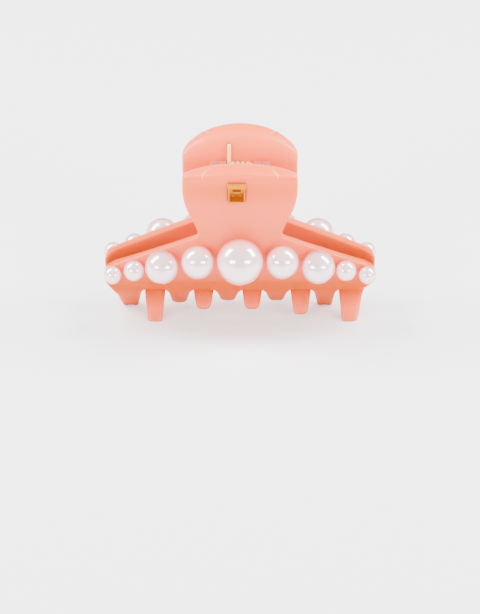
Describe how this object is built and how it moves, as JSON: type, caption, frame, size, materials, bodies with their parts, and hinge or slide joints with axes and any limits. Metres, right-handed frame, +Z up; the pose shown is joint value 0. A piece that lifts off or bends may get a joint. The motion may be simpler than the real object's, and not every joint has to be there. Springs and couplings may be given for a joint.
{
  "type": "claw clip",
  "caption": "Sprung hair claw clip: two identical toothed jaws on a pin, closed by a torsion spring, with a graduated row of pearls on each jaw.",
  "frame": {"origin": "centre of the footprint, on the surface that the tooth tips stand on", "axes": "+X along the hinge pin, +Z up from the tooth tips to the finger lips, front jaw towards -Y"},
  "size_m": [0.082, 0.0398, 0.0558],
  "materials": {
    "coral_plastic": "moulded, high gloss, milky coral pink",
    "pearl_coat": "pearlescent lacquer over a moulded bead",
    "spring_wire": "pale gold plated spring wire",
    "keeper_brass": "pressed sheet, bright gold plate",
    "pin_steel": "drawn steel wire"
  },
  "bodies": {
    "front_half": {"front_jaw": "coral_plastic", "hinge_pin": "pin_steel", "torsion_spring": "spring_wire", "front_keeper": "keeper_brass", "front_pearl_middle": "pearl_coat", "front_pearl_left_1": "pearl_coat", "front_pearl_left_2": "pearl_coat", "front_pearl_left_3": "pearl_coat", "front_pearl_left_4": "pearl_coat", "front_pearl_right_1": "pearl_coat", "front_pearl_right_2": "pearl_coat", "front_pearl_right_3": "pearl_coat", "front_pearl_right_4": "pearl_coat"},
    "rear_half": {"rear_jaw": "coral_plastic", "rear_keeper": "keeper_brass", "rear_pearl_middle": "pearl_coat", "rear_pearl_left_1": "pearl_coat", "rear_pearl_left_2": "pearl_coat", "rear_pearl_left_3": "pearl_coat", "rear_pearl_left_4": "pearl_coat", "rear_pearl_right_1": "pearl_coat", "rear_pearl_right_2": "pearl_coat", "rear_pearl_right_3": "pearl_coat", "rear_pearl_right_4": "pearl_coat"}
  },
  "joints": [
    {"name": "jaw_hinge", "type": "hinge", "parent": "front_half", "child": "rear_half", "pos_m": [0, 0, 0.0473], "axis": [1, 0, 0], "range_deg": [0, 60], "stiffness_Nm_per_rad": 0.14, "springref_deg": -40.11, "deforming": ["torsion_spring"]}
  ]
}
